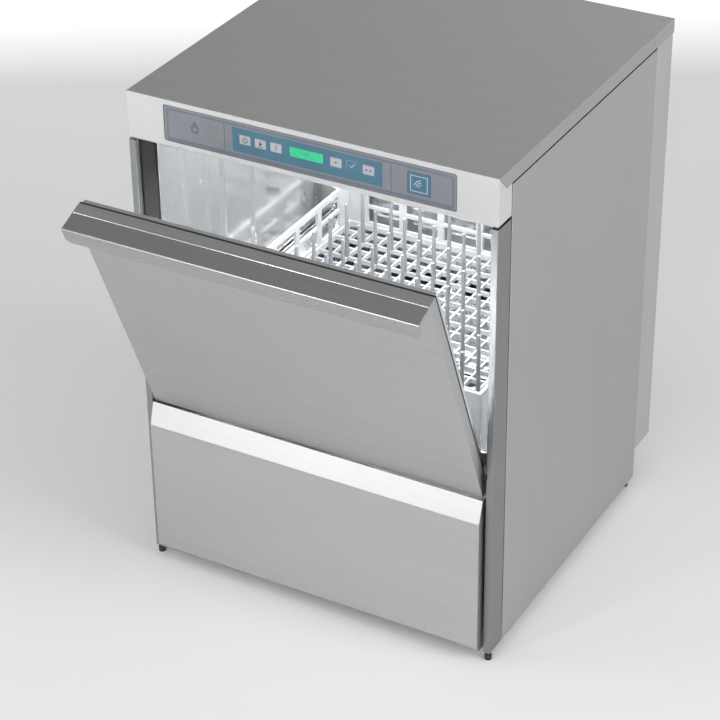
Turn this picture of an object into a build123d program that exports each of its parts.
"""Undercounter glass washer: free-standing stainless cabinet, drop-down door, wash chamber with
rotating wash and rinse arms, a pull-out rack, and the pumps, boiler and controls that run it.

Row frame: +Z up, the door faces -Y, origin on the floor in the middle of the machine's box with
the door held part open.  Lengths are millimetres.  Inside this script Y is measured back from the
fascia's front face, and everything is moved by Y_SHIFT when it is written."""
import math
import os

from build123d import *

os.makedirs("parts", exist_ok=True)

# ---------------------------------------------------------------- driving dimensions
W = 600.0              # cabinet width
D = 603.0              # cabinet depth, fascia front to rear cover
H = 820.0              # height on its feet
HX = W / 2
SKIN = 1.5             # casing sheet
FLOOR_GAP = 15.0       # underside of the casing above the floor
FASCIA_H = 74.7        # control fascia height
FASCIA_D = 39.5        # depth of the fascia's wrapped sides
LIP_H = 23.0           # lip of the top cover
PANEL_FRONT = 43.0     # front edge of the side panels
PANEL_REAR = 540.0     # rear edge of the side panels
FOOT_X, FOOT_Y = 294.35, 7.2   # front feet, under the pillars
REAR_BOTTOM = 67.7     # lower edge of the raised rear cover
PILLAR_IN = 288.7      # inner face of the front pillars

DOOR_ANGLE = 22.5      # how far the door stands open at rest
DOOR_OPEN = 90.0       # fully open
PIV_Y, PIV_Z = 0.5, 333.4   # hinge axis
DOOR_HX = 284.0        # half width of the door
DOOR_Z0, DOOR_Z1 = 299.4, 742.8
DOOR_F = -14.45        # outer face, door shut
DOOR_SKIN_D = 17.6     # depth of the outer skin
SEAL_T = 3.4           # thickness of the seam seal
DOOR_BACK = 14.0       # inner face, door shut
HANDLE_OUT = 33.0      # how far the grip stands out
HANDLE_DROP = 27.5     # depth of the grip's lip

CH_X = 284.0           # chamber half width, inside
CH_Y0, CH_Y1 = 48.5, 568.0
CH_Z0, CH_Z1 = 345.0, 760.0
ARM_Y = 306.0          # axis of the wash arms
RACK = 500.0
RACK_Z = 350.3
RACK_Y0 = 56.0
PEG_PITCH = 54.0

Y_SHIFT = -201.479      # puts the middle of the box on Y = 0

written = {}


def out(shape, name):
    """Writes one node, moved into the row frame."""
    solids = [s for s in shape.solids()]
    moved = [s.moved(Location((0, Y_SHIFT, 0))) for s in solids]
    body = moved[0] if len(moved) == 1 else Compound(children=moved)
    body.label = name
    export_step(body, f"parts/{name}.step")
    written[name] = body


def box(x0, x1, y0, y1, z0, z1):
    return Pos((x0 + x1) / 2, (y0 + y1) / 2, (z0 + z1) / 2) * Box(abs(x1 - x0), abs(y1 - y0), abs(z1 - z0))


def cyl_z(x, y, z0, z1, r):
    return Pos(x, y, (z0 + z1) / 2) * Cylinder(r, abs(z1 - z0))


def cyl_y(x, y0, y1, z, r):
    return Pos(x, (y0 + y1) / 2, z) * Rot(90, 0, 0) * Cylinder(r, abs(y1 - y0))


def cyl_x(x0, x1, y, z, r):
    return Pos((x0 + x1) / 2, y, z) * Rot(0, 90, 0) * Cylinder(r, abs(x1 - x0))


def prism_yz(pts, x0, x1):
    f = make_face(Polyline(*[(x0, y, z) for y, z in pts], close=True))
    return extrude(f, amount=x1 - x0, dir=(1, 0, 0))


def prism_xy(pts, z0, z1):
    f = make_face(Polyline(*[(x, y, z0) for x, y in pts], close=True))
    return extrude(f, amount=z1 - z0, dir=(0, 0, 1))


def prism_xz(pts, y0, y1):
    f = make_face(Polyline(*[(x, y0, z) for x, z in pts], close=True))
    return extrude(f, amount=y1 - y0, dir=(0, 1, 0))


def plate_xz(x0, x1, z0, z1, y0, y1, r):
    """A flat plate in the XZ plane with rounded corners."""
    p = box(x0, x1, y0, y1, z0, z1)
    return fillet(p.edges().filter_by(Axis.Y), r)


def tube(points, radii, r):
    path = FilletPolyline(*points, radius=radii)
    start = Vector(*points[0])
    d = Vector(*points[1]) - start
    prof = Plane(origin=start, z_dir=d) * Circle(r)
    return sweep(prof, path=path)


def mirror_x(shape):
    return mirror(shape, about=Plane.YZ)


def both(shape):
    return Compound(children=[*shape.solids(), *mirror_x(shape).solids()])


def swing(shape):
    """From the shut door to the rest position."""
    return shape.rotate(Axis((0, PIV_Y, PIV_Z), (1, 0, 0)), DOOR_ANGLE)


# ================================================================ casing
# top cover: flat lid, lips down both sides and the rear, the side lips mitred at the front
lid = box(-HX, HX, 2.0, D, H - SKIN, H)
lip = prism_yz([(0.0, H), (LIP_H, H - LIP_H), (D, H - LIP_H), (D, H)], HX - SKIN, HX)
lip = lip - box(HX - SKIN - 1, HX + 1, -1, 2.0, H - 5, H + 1)
top = lid + lip + mirror_x(lip) + box(-HX, HX, D - SKIN, D, H - LIP_H, H)
top = fillet(top.edges().filter_by(Axis.Y).filter_by(lambda e: abs(e.center().Z - H) < 0.01 and abs(abs(e.center().X) - HX) < 0.01), 1.2)
top = fillet(top.edges().filter_by(Axis.X).filter_by(lambda e: abs(e.center().Z - H) < 0.01 and abs(e.center().Y - D) < 0.01), 1.2)
# stiffening channels under the lid
top = top + box(-240, 240, 200, 203, H - 12, H - SKIN) + box(-240, 240, 420, 423, H - 12, H - SKIN)
out(top, "top_cover")


# side panels: flat sheet with returned front and top edges
def side_panel():
    z0, z1 = FLOOR_GAP, H - LIP_H - 3.0
    p = box(HX - SKIN, HX, PANEL_FRONT, PANEL_REAR, z0, z1)
    p = p + box(295.2, HX - SKIN, PANEL_FRONT, PANEL_FRONT + SKIN, z0, z1)
    p = p + box(288, HX - SKIN, PANEL_FRONT + 15, PANEL_REAR - 2, z1 - SKIN, z1)
    p = p + box(290, HX - SKIN, PANEL_REAR - SKIN, PANEL_REAR, z0 + 60, z1)
    e = p.edges().filter_by(Axis.Z).filter_by(lambda q: abs(q.center().X - HX) < 0.01)
    return fillet(e, 1.0)


sp = side_panel()
out(sp, "right_side_panel")
out(mirror_x(sp), "left_side_panel")

# rear cover: raised box section over the back, with vent louvres and a pipe cut-out below
RC_Y = 601.0
rc = box(-299.3, 299.3, RC_Y - SKIN, RC_Y, REAR_BOTTOM, H - LIP_H - 0.7)
rc = rc + box(297.8, 299.3, PANEL_REAR + 1, RC_Y, REAR_BOTTOM, H - LIP_H - 0.7)
rc = rc + box(-299.3, -297.8, PANEL_REAR + 1, RC_Y, REAR_BOTTOM, H - LIP_H - 0.7)
rc = rc + box(-297.8, 297.8, 571, RC_Y, REAR_BOTTOM, REAR_BOTTOM + SKIN)
rc = fillet(rc.edges().filter_by(Axis.Z).filter_by(lambda q: abs(abs(q.center().X) - 299.3) < 0.01 and abs(q.center().Y - RC_Y) < 0.01), 1.2)
slots = [box(sx - 38, sx + 38, RC_Y - 6, RC_Y + 2, 110 + 14 * k, 115 + 14 * k) for sx in (-150, 150) for k in range(7)]
rc = rc - slots
out(rc, "rear_cover")

# screws that hold the rear cover, top cover and base: dome heads with a cross recess
screws = []


def dome_screw(x, y, z):
    s = cyl_y(x, y, y + 1.9, z, 4.2)
    s = fillet(s.edges().filter_by(GeomType.CIRCLE).sort_by(Axis.Y)[-1], 1.2)
    s = s - box(x - 2.4, x + 2.4, y + 0.9, y + 3, z - 0.5, z + 0.5) - box(x - 0.5, x + 0.5, y + 0.9, y + 3, z - 2.4, z + 2.4)
    return s


for sx in (-285, 0, 285):
    for sz in (90, 430, 770):
        if sx == 0 and sz == 430:
            continue
        screws.append(dome_screw(sx, RC_Y, sz))
out(Compound(children=[s for q in screws for s in q.solids()]), "casing_screws")

# front pillars: folded channel beside the door
pil = prism_xy([(PILLAR_IN, 15), (PILLAR_IN, 0), (HX, 0), (HX, FASCIA_D), (HX - SKIN, FASCIA_D), (HX - SKIN, SKIN), (PILLAR_IN + SKIN, SKIN), (PILLAR_IN + SKIN, 15)], FLOOR_GAP, H - FASCIA_H - 3.2)
pil = fillet(pil.edges().filter_by(Axis.Z).filter_by(lambda q: abs(q.center().X - HX) < 0.01 and abs(q.center().Y) < 0.01), 1.4)
pil = fillet(pil.edges().filter_by(Axis.Z).filter_by(lambda q: abs(q.center().X - PILLAR_IN) < 0.01 and abs(q.center().Y) < 0.01), 0.9)
plug = box(290.2, 298.5, SKIN, 14.9, FLOOR_GAP, FLOOR_GAP + 9) - cyl_z(FOOT_X, FOOT_Y, 0, 60, 3.45)
pil = pil + plug + box(290.2, 298.5, SKIN, 14.9, H - FASCIA_H - 4.7, H - FASCIA_H - 3.2)
out(pil, "right_front_pillar")
out(mirror_x(pil), "left_front_pillar")

# control fascia: front sheet, wrapped sides that meet the lid's mitre, lower and upper returns
FZ0 = H - FASCIA_H
WIN_X, WIN_Z0, WIN_Z1 = 236.6, 754.9, 812.3
fas = box(-HX, HX, 0, SKIN, FZ0, H)
side = prism_yz([(0, FZ0), (FASCIA_D, FZ0), (FASCIA_D, H - LIP_H - 0.4), (LIP_H - 0.4, H - LIP_H - 0.4), (0.4, H - 0.9), (0, H - 0.9)], HX - SKIN, HX)
fas = fas + side + mirror_x(side)
fas = fas + box(-HX, HX, 0, 14.5, FZ0, FZ0 + SKIN) + box(-HX + 4, HX - 4, SKIN, 26, H - 2 * SKIN - 0.4, H - SKIN - 0.4)
fas = fas - box(-HX - 1, -HX + 4, 1.6, 60, H - 0.9, H + 1) - box(HX - 4, HX + 1, 1.6, 60, H - 0.9, H + 1)
window = plate_xz(-WIN_X, WIN_X, WIN_Z0, WIN_Z1, -2, 5, 4.0)
fas = fas - window
fas = fillet(fas.edges().filter_by(Axis.Z).filter_by(lambda q: abs(abs(q.center().X) - HX) < 0.01 and abs(q.center().Y) < 0.01 and q.length > 40), 1.2)
fas = fillet(fas.edges().filter_by(Axis.X).filter_by(lambda q: abs(q.center().Z - FZ0) < 0.01 and abs(q.center().Y) < 0.01), 3.0)
out(fas, "front_fascia")

# lower front panel: proud face with a sloped shoulder under the door
prof = [(-3.4, 293.9), (-14.5, 257.7), (-14.5, 30.0), (-6.0, 19.5), (20, 19.5), (20, 293.9)]
inner = [(-2.6, 292.7), (-13.3, 257.4), (-13.3, 30.4), (-5.4, 20.7), (21, 20.7), (21, 292.7)]
lp = prism_yz(prof, -285.5, 285.5) - prism_yz(inner, -284.3, 284.3)
lp = fillet(lp.edges().filter_by(Axis.X).filter_by(lambda q: abs(q.center().Y + 14.5) < 0.01 and abs(q.center().Z - 257.7) < 0.1), 2.0)
out(lp, "lower_front_panel")

# base tray: pan with raised edges, foot bosses, spring anchors and a rear service flange
FOOT = [(294.35, 7.2), (-294.35, 7.2), (290.0, 528.0), (-290.0, 528.0)]
PAD_R, STUD_R = 5.6, 3.4
bt = box(-297.8, 297.8, 60, 538, FLOOR_GAP, FLOOR_GAP + SKIN) + box(-283, 283, 8, 60, FLOOR_GAP, FLOOR_GAP + SKIN)
bt = bt + box(-283, 283, 28, 29.5, FLOOR_GAP, 48) + box(-297.8, 297.8, 536.5, 538, FLOOR_GAP, 66)
for s in (1, -1):
    a, b = sorted((s * 296.3, s * 297.8))
    bt = bt + box(a, b, 60, 538, FLOOR_GAP, 58)
    a, b = sorted((s * 286.8, s * 297.8))
    bt = bt + box(a, b, 60, 61.5, FLOOR_GAP, 58)
for fx, fy in FOOT[2:]:
    sx = math.copysign(1, fx)
    a, b = sorted((sx * 284, sx * 297.8))
    bt = bt + box(a, b, 519, 536.6, FLOOR_GAP, FLOOR_GAP + 9)
    bt = bt - cyl_z(fx, fy, 0, 60, STUD_R + 0.05)
for hx, hr in ((-200, 13.5), (-110, 11.6), (200, 10.2)):
    bt = bt - cyl_y(hx, 530, 545, 41, hr)
for hx in (-120, 0, 120):
    bt = bt - cyl_z(hx, 430, 0, 30, 9)
out(bt, "base_tray")

FOOT_NAME = ["foot_front_right", "foot_front_left", "foot_rear_right", "foot_rear_left"]
for (fx, fy), name in zip(FOOT, FOOT_NAME):
    pad = cyl_z(fx, fy, 0, 9, PAD_R)
    pad = fillet(pad.edges().filter_by(GeomType.CIRCLE).sort_by(Axis.Z)[-1], 1.2)
    stud = cyl_z(fx, fy, 9, 36, STUD_R) + (Pos(fx, fy, 11.0) * extrude(RegularPolygon(4.6, 6), amount=3.6))
    out(pad + stud, name)

# ================================================================ wash chamber
# side walls with four upright pressed beads each
BEADS = (112.0, 175.0, 219.0, 305.0)
BEAD_H, BEAD_W = 2.5, 8.0
inner_pts = [(CH_X, CH_Y0)]
for by in BEADS:
    inner_pts += [(CH_X, by - BEAD_W), (CH_X - BEAD_H, by), (CH_X, by + BEAD_W)]
inner_pts.append((CH_X, CH_Y1))
outer_pts = [(x + 1.0, y) for x, y in inner_pts]
wall = prism_xy(inner_pts + outer_pts[::-1], CH_Z0, CH_Z1)
out(both(wall), "chamber_side_walls")

bw = box(-285.0, 285.0, CH_Y1 + 0.1, CH_Y1 + 1.1, CH_Z0, CH_Z1)
for bx in (-140, 140):
    rib = fillet(box(bx - 30, bx + 30, CH_Y1 - 2.4, CH_Y1 + 0.1, 380, 700).edges().filter_by(Axis.Z).filter_by(lambda q: q.center().Y < CH_Y1 - 1), 2.2)
    bw = bw + rib
out(bw, "chamber_back_wall")

roof = box(-285.0, 285.0, CH_Y0, CH_Y1 + 1.1, CH_Z1 + 0.1, CH_Z1 + 1.3)
roof = roof + box(-285.0, 285.0, CH_Y0 - 1.3, CH_Y0 - 0.1, 744, CH_Z1 + 1.3) + box(-285.0, 285.0, CH_Y0 - 1.3, CH_Y0, CH_Z1 + 0.1, CH_Z1 + 1.3)
roof = roof - cyl_z(0, ARM_Y, CH_Z1 - 10, CH_Z1 + 10, 15.4)
out(roof, "chamber_roof")

TK_Y0, TK_Z0 = 40.0, 225.0
SUMP = (80.0, 330.0)


def basin(o, r, ztop):
    b = box(-282 + o, 282 - o, TK_Y0 + o, CH_Y1 + 1 - o, TK_Z0 + o, ztop)
    b = fillet(b.edges().filter_by(Axis.Z), r)
    return fillet(b.faces().sort_by(Axis.Z)[0].edges(), r * 0.8)


tank = basin(0, 26.0, 344.8) + cyl_z(SUMP[0], SUMP[1], 182, 240, 60)
tank = tank - basin(1.2, 24.8, 360) - cyl_z(SUMP[0], SUMP[1], 183.2, 242, 58.8)
rim = box(280.9, 286.5, 52, CH_Y1 + 1, 343.6, 344.8)
tank = tank + rim + mirror_x(rim)
tank = tank - cyl_z(0, ARM_Y, 215, 240, 15.4) - cyl_z(SUMP[0], SUMP[1], 170, 190, 18.0)
tank = tank - cyl_y(-150, 30, 50, 262, 4.3) - cyl_y(-110, 30, 50, 262, 4.3)
out(tank, "wash_tank")

# strainers over the tank, and the filter cup in the sump
st = []
for a, b, c, d in ((-262, -44, 62, 530), (-42, 262, 62, 530)):
    p = box(a, b, c, d, 268, 269.2)
    p = p + box(a, b, c, c + 1.2, 269.2, 277) + box(a, b, d - 1.2, d, 269.2, 277)
    st.append((p, a, b))
p0 = st[0][0]
p1 = st[1][0] - cyl_z(0, ARM_Y, 260, 280, 26) - cyl_z(SUMP[0], SUMP[1], 260, 280, 52)
cup = cyl_z(SUMP[0], SUMP[1], 190, 272, 50) - cyl_z(SUMP[0], SUMP[1], 191.2, 275, 48.8)
cup = cup + (cyl_z(SUMP[0], SUMP[1], 269.6, 272, 62) - cyl_z(SUMP[0], SUMP[1], 260, 275, 48.8))
cup = cup + (box(SUMP[0] - 49.5, SUMP[0] + 49.5, SUMP[1] - 2.5, SUMP[1] + 2.5, 269.6, 272.4))
cup = cup + (Pos(SUMP[0], SUMP[1], 272) * Rot(90, 0, 0) * (Cylinder(23, 5) - Cylinder(19, 6)) - box(0, 200, 200, 400, 200, 271.9))
out(Compound(children=[s for q in (p0, p1, cup) for s in q.solids()]), "tank_strainers")

# rack rails: angle section on each wall
rail = box(240, 281.0, 52, 560, 347.6, 350.0) + box(279.0, 281.0, 52, 560, 350.0, 371) + prism_xy([(240, 52), (252, 42), (281, 42), (281, 52)], 347.6, 350.0)
out(both(rail), "rack_rails")

# black door gasket: upright strips on the pillars' inner faces, a strip under the fascia, a sill strip
gk = box(286.0, PILLAR_IN, 11.0, 48.0, 356, 741.0)
gk = fillet(gk.edges().filter_by(Axis.Z).filter_by(lambda q: q.center().X < 286.1 and q.center().Y < 12), 1.2)
strip = box(-286.0, 286.0, 16.0, 30.0, 741.4, 745.2)
sill = box(-262, 262, 38.4, 40.0, 328, 343)
out(Compound(children=[s for q in (gk, mirror_x(gk), strip, sill) for s in q.solids()]), "door_gasket")

# ================================================================ wash and rinse arms
R_ARM = 238.0


def wash_arm(z0, up):
    h, w = 20.0, 42.0
    o = box(-R_ARM, R_ARM, ARM_Y - w / 2, ARM_Y + w / 2, z0, z0 + h)
    o = fillet(o.edges().filter_by(Axis.Z), 18)
    o = fillet(o.edges().group_by(Axis.Z)[-1] + o.edges().group_by(Axis.Z)[0], 5)
    i = box(-R_ARM + 1.4, R_ARM - 1.4, ARM_Y - w / 2 + 1.4, ARM_Y + w / 2 - 1.4, z0 + 1.4, z0 + h - 1.4)
    i = fillet(i.edges().filter_by(Axis.Z), 16.6)
    a = o - i
    hub = cyl_z(0, ARM_Y, z0 - 1, z0 + h + 1, 30)
    a = a + hub
    a = a - cyl_z(0, ARM_Y, z0 - 5, z0 + h + 5, 15.05)
    zt = z0 + h if up else z0
    for k, x in enumerate((60, 98, 134, 168, 198, 222)):
        for s in (1, -1):
            n = Pos(s * x, ARM_Y + (5 if (k % 2) == 0 else -5) * s, zt) * extrude(SlotOverall(15, 4.2), amount=4, both=True)
            a = a - n
    return a


def rinse_arm(z0, up):
    r = 7.0
    zc = z0 + r
    a = cyl_y(0, ARM_Y - 225, ARM_Y + 225, zc, r)
    a = a + cyl_z(0, ARM_Y, z0 - 0.5, z0 + 2 * r + 0.5, 17)
    a = a - cyl_y(0, ARM_Y - 223, ARM_Y + 223, zc, r - 1.2)
    a = a + (cyl_z(0, ARM_Y, z0 - 0.5, z0 + 2 * r + 0.5, 17) - cyl_y(0, ARM_Y - 223, ARM_Y + 223, zc, r - 1.2))
    a = a - cyl_z(0, ARM_Y, z0 - 5, z0 + 2 * r + 5, 8.05)
    for y in (40, 75, 110, 145, 180, 212):
        for s in (1, -1):
            noz = cyl_z(0, ARM_Y + s * y, zc, zc + (r + 2) * (1 if up else -1), 3.2)
            a = a + noz
            a = a - cyl_z(0, ARM_Y + s * y, zc, zc + (r + 4) * (1 if up else -1), 1.2)
    return a


out(wash_arm(301, True), "lower_wash_arm")
out(rinse_arm(325.5, True), "lower_rinse_arm")
out(wash_arm(717, False), "upper_wash_arm")
out(rinse_arm(696, False), "upper_rinse_arm")

lb = cyl_z(0, ARM_Y, 224, 323.5, 15) + cyl_z(0, ARM_Y, 280, 299.2, 22) + cyl_z(0, ARM_Y, 323.5, 343, 8) + cyl_z(0, ARM_Y, 341, 346, 12)
lb = lb - cyl_z(0, ARM_Y, 220, 318, 11)
out(lb, "lower_arm_bearing")
ub = cyl_z(0, ARM_Y, 716, 764, 15) + cyl_z(0, ARM_Y, 741.5, 758, 24) + cyl_z(0, ARM_Y, 689, 716, 8) + cyl_z(0, ARM_Y, 688, 694, 12)
ub = ub - cyl_z(0, ARM_Y, 723, 766, 11)
out(ub, "upper_arm_bearing")

# ================================================================ machine compartment
PZ = 95.0
PY = 330.0
vol = cyl_x(-25, 25, PY, PZ, 60) + cyl_z(0, ARM_Y, 120, 158, 16)
vol = vol + cyl_x(25, 40, PY, PZ, 22)
vol = vol - cyl_x(-18, 18, PY, PZ, 50) - cyl_x(10, 45, PY, PZ, 17) - cyl_x(-30, 0, PY, PZ, 6.05)
vol = vol - cyl_z(0, ARM_Y, PZ + 12, 160, 13)
out(vol, "wash_pump_housing")

mot = cyl_x(-145, -27, PY, PZ, 52) - cyl_x(-150, 0, PY, PZ, 6.05)
for k in range(20):
    a = math.radians(18 * k)
    fin = Pos(-86, PY + 52 * math.cos(a), PZ + 52 * math.sin(a)) * Rot(math.degrees(a), 0, 0) * Box(96, 6, 2)
    mot = mot + fin
mot = mot + box(-125, -55, PY - 40, PY + 40, FLOOR_GAP + SKIN, 50) + box(-115, -65, PY - 25, PY + 25, PZ + 48, PZ + 72)
mot = mot - cyl_x(-150, 0, PY, PZ, 6.05)
out(mot, "wash_pump_motor")

rot = cyl_x(-143, 6, PY, PZ, 6.0) + cyl_x(-12, -9, PY, PZ, 45) + cyl_x(-9, 8, PY, PZ, 12)
for k in range(6):
    rot = rot + (Pos(0, PY, PZ) * Rot(60 * k, 0, 0) * Pos(-1.5, 26, 0) * Rot(25, 0, 0) * Box(15, 34, 2.2))
out(rot, "wash_pump_rotor")

# delivery pipework: up to the lower bearing, and round the back to the upper one
dp = cyl_z(0, ARM_Y, 158, 224, 15)
rise = tube([(0, ARM_Y, 186), (0, 584.5, 186), (0, 584.5, 785), (0, ARM_Y, 785), (0, ARM_Y, 764)], [30, 30, 19], 12)
bore = cyl_z(0, ARM_Y, 150, 230, 12)
out((dp + rise) - bore, "delivery_pipes")

# suction hose from the sump to the pump
sh = tube([(SUMP[0], PY, 182), (SUMP[0], PY, PZ), (40, PY, PZ)], [34], 20)
out(sh, "suction_hose")

# rinse boiler with its end flange
bo = cyl_y(-212, 190, 485, 97, 58)
bo = fillet(bo.edges().filter_by(GeomType.CIRCLE), 10)
bo = bo + box(-250, -174, 220, 250, FLOOR_GAP + SKIN, 50) + box(-250, -174, 430, 460, FLOOR_GAP + SKIN, 50)
bo = bo + fillet(cyl_y(-212, 182, 192, 97, 42).edges().filter_by(GeomType.CIRCLE).sort_by(Axis.Y)[0], 2)
out(bo, "rinse_boiler")

# tank heater: a hairpin element through the tank's front wall, above the tank floor
HZ = 250.0
th = tube([(-150, 30, 262), (-150, 60, 262), (-150, 60, HZ), (-150, 480, HZ), (-110, 480, HZ), (-110, 60, HZ), (-110, 60, 262), (-110, 30, 262)], [5.5, 5.5, 19, 19, 5.5, 5.5], 4.2)
th = th + cyl_y(-150, 37.5, 40, 262, 14) + cyl_y(-110, 37.5, 40, 262, 14)
out(th, "tank_heater")

# drain pump with its rotor, and the hose to the rear spigot
DX, DY, DZ = 190.0, 330.0, 62.0
dpb = cyl_y(DX, DY - 40, DY + 20, DZ, 30) + box(DX - 28, DX + 28, DY + 20, DY + 75, DZ - 28, DZ + 28)
dpb = dpb + box(DX - 22, DX + 22, DY + 25, DY + 65, FLOOR_GAP + SKIN, DZ) + cyl_y(DX, DY - 62, DY - 40, DZ, 13)
dpb = dpb - cyl_y(DX, DY - 34, DY + 6, DZ, 24) - cyl_y(DX, DY - 70, DY - 20, DZ, 10) - cyl_y(DX, DY, DY + 60, DZ, 3.05)
out(dpb, "drain_pump")
dr = cyl_y(DX, DY - 22, DY + 58, DZ, 3.0) + cyl_y(DX, DY + 0, DY + 3, DZ, 20)
for k in range(4):
    dr = dr + (Pos(DX, DY - 8, DZ) * Rot(0, 90 * k, 0) * Pos(10, 0, 0) * Box(19, 16, 2))
out(dr, "drain_pump_rotor")

# rear connections
sp_y = 536.5
iv = box(-218, -182, 500, 535, 22, 60) + cyl_y(-200, 535, 566, 41, 13.2) + cyl_y(-200, 538.2, 544, 41, 17)
iv = iv - cyl_y(-200, 545, 570, 41, 8) + cyl_z(-200, 518, 60, 92, 14)
out(iv, "inlet_valve")
do = cyl_y(-110, 500, 538.2, 41, 10) + cyl_y(-110, 538.2, 543, 41, 15) + cyl_y(-110, 543, 582, 41, 11)
do = do - cyl_y(-110, 490, 590, 41, 8.5)
out(do, "drain_spigot")
mg = cyl_y(200, 522, 556, 41, 10) + (Pos(200, 538.2, 41) * Rot(-90, 0, 0) * extrude(RegularPolygon(14, 6), amount=10)) + (Pos(200, 529, 41) * Rot(-90, 0, 0) * extrude(RegularPolygon(14, 6), amount=5))
mg = mg - cyl_y(200, 515, 560, 41, 6.5)
out(mg, "mains_gland")

# dosing pumps for detergent and rinse aid, on the front of the compartment
ds = []
for dx in (150, 222):
    q = box(dx - 28, dx + 28, 92, 150, 96, 160) + cyl_y(dx, 78, 92, 128, 24)
    q = q + cyl_z(dx - 12, 85, 148, 168, 4) + cyl_z(dx + 12, 85, 148, 168, 4) + box(dx - 24, dx + 24, 96, 140, FLOOR_GAP + SKIN, 96)
    ds.append(q)
out(Compound(children=[s for q in ds for s in q.solids()]), "dosing_pumps")

# ================================================================ controls
CB_Z0, CB_Z1 = 753.5, 813.8
cb = box(-240, 240, 1.8, 34, CB_Z0, CB_Z1) - box(-236, 236, 1, 32, CB_Z0 + 2, CB_Z1 - 2)
cb = cb + box(-225, 225, 9, 10.6, 757, 810)
cb = cb + [cyl_y(x, 10.6, 32, z, 3) for x in (-200, 0, 200) for z in (764, 803)]
out(cb, "control_box")

OV_Y0, OV_Y1 = 0.7, 1.7
BTN_Z = 785.6
BTN = {"power_button": -100.2, "drain_button": -74.7, "info_button": -49.2, "program_one_button": 47.6, "program_two_button": 99.2}
KF = (121.0, 764.7, 802.7)
START = (159.8, 195.8, 766.2, 799.9)
ov = plate_xz(-235.6, 235.6, 755.9, 811.3, OV_Y0, OV_Y1, 3.2)
ov = ov - box(-KF[0], KF[0], 0, 3, KF[1], KF[2]) - plate_xz(START[0] - 0.25, START[1] + 0.25, START[2] - 0.25, START[3] + 0.25, 0, 3, 1.3)
out(ov, "keypad_overlay")
kf = box(-KF[0], KF[0], OV_Y0, OV_Y1, KF[1], KF[2])
for name, bx in BTN.items():
    kf = kf - plate_xz(bx - 9.55, bx + 9.55, BTN_Z - 7.55, BTN_Z + 7.55, 0, 3, 1.5)
kf = kf - plate_xz(-26.8, 26.8, BTN_Z - 7.3, BTN_Z + 7.3, 0, 3, 1.0)
out(kf, "keypad_field")
out(plate_xz(-26.8, 26.8, BTN_Z - 7.3, BTN_Z + 7.3, OV_Y0 + 0.1, OV_Y1, 1.0), "display_window")
for name, bx in BTN.items():
    b = plate_xz(bx - 9.3, bx + 9.3, BTN_Z - 7.3, BTN_Z + 7.3, 0.35, 2.4, 1.3)
    b = fillet(b.faces().sort_by(Axis.Y)[0].edges(), 0.3)
    b = b + cyl_y(bx, 2.4, 6.5, BTN_Z, 2.5)
    out(b, name)
b = plate_xz(START[0], START[1], START[2], START[3], 0.45, 2.4, 1.1)
b = fillet(b.faces().sort_by(Axis.Y)[0].edges(), 0.3)
b = b + cyl_y((START[0] + START[1]) / 2, 2.4, 6.5, (START[2] + START[3]) / 2, 3)
out(b, "start_button")

# ================================================================ door
TS = 1.2
sk = box(-DOOR_HX, DOOR_HX, DOOR_F, DOOR_F + DOOR_SKIN_D, DOOR_Z0, DOOR_Z1)
sk = fillet(sk.edges().filter_by(Axis.Z).filter_by(lambda q: abs(q.center().Y - DOOR_F) < 0.01), 1.2)
sk = sk - box(-DOOR_HX + TS, DOOR_HX - TS, DOOR_F + TS, DOOR_F + DOOR_SKIN_D + 1, DOOR_Z0 + TS, DOOR_Z1 - TS)
sk = sk - cyl_x(-290, 290, PIV_Y, PIV_Z, 4.3)
out(swing(sk), "door_outer_skin")

y0 = DOOR_F + DOOR_SKIN_D
ss = box(-283.6, 283.6, y0, y0 + SEAL_T, DOOR_Z0 + 0.4, DOOR_Z1 - 0.5) - box(-268, 268, y0 - 1, y0 + 5, DOOR_Z0 + 15, DOOR_Z1 - 15)
cut = box(267, 281.1, y0 - 1, y0 + 5, PIV_Z - 12.2, PIV_Z + 12.2)
ss = ss - cut - mirror_x(cut) - cyl_x(-290, 290, PIV_Y, PIV_Z, 4.5)
out(swing(ss), "door_seam_seal")

y1 = y0 + SEAL_T
IP_HX, IP_Z0, IP_Z1 = 282.6, DOOR_Z0 + 1.5, DOOR_Z1 - 2.0
ip = box(-IP_HX, IP_HX, y1, DOOR_BACK, IP_Z0, IP_Z1)
ip = fillet(ip.edges().filter_by(Axis.Y), 3.0)
ip = fillet(ip.faces().sort_by(Axis.Y)[-1].edges(), 2.0)
ip = ip - box(-IP_HX + TS, IP_HX - TS, y1 - 1, DOOR_BACK - TS, IP_Z0 + TS, IP_Z1 - TS)
# two pressed runners that carry the rack when the door is down
for s in (-1, 1):
    a, b = sorted((s * 150.0, s * 190.0))
    dent = fillet(box(a, b, DOOR_BACK - 3.0, DOOR_BACK + 1, IP_Z0 + 50, IP_Z1 - 50).edges().filter_by(Axis.Y), 12)
    back = fillet(box(a - 1.2, b + 1.2, DOOR_BACK - 4.2, DOOR_BACK - 0.5, IP_Z0 + 48.8, IP_Z1 - 48.8).edges().filter_by(Axis.Y), 13.2)
    ip = (ip + back) - dent
out(swing(ip), "door_inner_panel")

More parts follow.
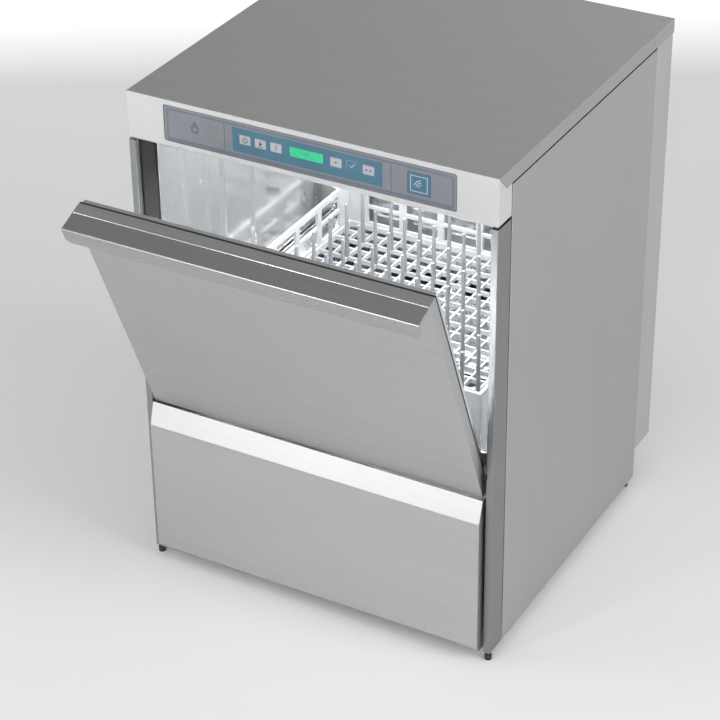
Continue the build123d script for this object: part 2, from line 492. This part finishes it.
# grip: a shelf carried on from the door's top edge, turned down in front, with rounded ends
hz = DOOR_Z1
gr = box(-DOOR_HX + 0.3, DOOR_HX - 0.3, DOOR_F - HANDLE_OUT, DOOR_F, hz - SKIN, hz)
lipp = box(-DOOR_HX + 0.3, DOOR_HX - 0.3, DOOR_F - HANDLE_OUT, DOOR_F - HANDLE_OUT + SKIN, hz - HANDLE_DROP, hz)
lipp = fillet(lipp.edges().filter_by(Axis.Y).filter_by(lambda q: q.center().Z < hz - 10), 9.5)
gr = gr + lipp
gr = fillet(gr.edges().filter_by(Axis.X).filter_by(lambda q: abs(q.center().Y - (DOOR_F - HANDLE_OUT)) < 0.01 and abs(q.center().Z - hz) < 0.01), 2.2)
out(swing(gr), "door_handle")


# hinge blocks inside the door's lower corners, bored for the pins
PIN_R, PIN_FIT = 4.0, 0.05
hbk = box(270.0, 281.0, DOOR_F + TS, 6.0, PIV_Z - 12, PIV_Z + 12)
hbk = hbk - cyl_x(269, 285, PIV_Y, PIV_Z, PIN_R + PIN_FIT)
out(swing(both(hbk)), "hinge_blocks")

# torsion springs round the pins, drawn as closed sleeves
ts = cyl_x(238.0, 267.5, PIV_Y, PIV_Z, 8.6) - cyl_x(236, 270, PIV_Y, PIV_Z, 5.4)
out(swing(both(ts)), "torsion_springs")

# hinge pins with the brackets that hold them on the pillars
hp = cyl_x(234.0, PILLAR_IN, PIV_Y, PIV_Z, PIN_R) + cyl_x(286.9, PILLAR_IN, PIV_Y, PIV_Z, 5.5)
hp = hp + box(286.9, PILLAR_IN, PIV_Y, 14.5, PIV_Z - 5.5, PIV_Z + 5.5) + box(286.9, PILLAR_IN, 3.0, 14.5, PIV_Z - 22, PIV_Z + 20)
out(both(hp), "hinge_pins")

# ================================================================ rack
rx = RACK / 2
ry0, ry1 = RACK_Y0, RACK_Y0 + RACK
rc_y = (ry0 + ry1) / 2
BASE_T = 8.0
bars = []
for k in range(-8, 9):
    bars.append(box(k * 27 - 1.6, k * 27 + 1.6, ry0 + 3, ry1 - 3, RACK_Z, RACK_Z + BASE_T))
    bars.append(box(-rx + 3, rx - 3, rc_y + k * 27 - 1.6, rc_y + k * 27 + 1.6, RACK_Z, RACK_Z + BASE_T))
rim = box(-rx + 5, rx - 5, ry0 + 5, ry1 - 5, RACK_Z, RACK_Z + 10) - box(-rx + 9, rx - 9, ry0 + 9, ry1 - 9, RACK_Z - 1, RACK_Z + 12)
inside = box(-rx + 5, rx - 5, ry0 + 5, ry1 - 5, RACK_Z - 1, RACK_Z + 12)
grid = rim + [q & inside for q in bars]
out(grid, "rack_base")

walls = []
WT, WH = 5.0, 83.0


def rack_wall(flip):
    """One wall along X at the front: bottom rail, top rail and posts, corners mitred."""
    pts = [(-rx, ry0), (rx, ry0), (rx - WT, ry0 + WT), (-rx + WT, ry0 + WT)]
    w = prism_xy(pts, RACK_Z, RACK_Z + WH)
    for k in range(6):
        xa = -216 + 72 * k + 6
        w = w - box(xa, xa + 60, ry0 - 1, ry0 + WT + 1, RACK_Z + 14, RACK_Z + 40)
        w = w - box(xa, xa + 60, ry0 - 1, ry0 + WT + 1, RACK_Z + 46, RACK_Z + 73)
    return w


w0 = rack_wall(False)
for k in range(4):
    walls.append(w0.rotate(Axis((0, rc_y, 0), (0, 0, 1)), 90 * k))
out(Compound(children=[s for q in walls for s in q.solids()]), "rack_walls")

pegs = []
for i in range(8):
    for j in range(8):
        px, py = (i - 3.5) * PEG_PITCH, rc_y + (j - 3.5) * PEG_PITCH
        pegs.append(Pos(px, py, RACK_Z + BASE_T + 48.5) * Cone(4.0, 2.6, 97))
out(Compound(children=[s for q in pegs for s in q.solids()]), "rack_pegs")

boxes = [b.bounding_box() for b in written.values()]
y_lo, y_hi = min(b.min.Y for b in boxes), max(b.max.Y for b in boxes)
print(len(written), "nodes; Y", round(y_lo, 3), round(y_hi, 3), "middle", round((y_lo + y_hi) / 2, 3), "Z", round(min(b.min.Z for b in boxes), 3), round(max(b.max.Z for b in boxes), 3))
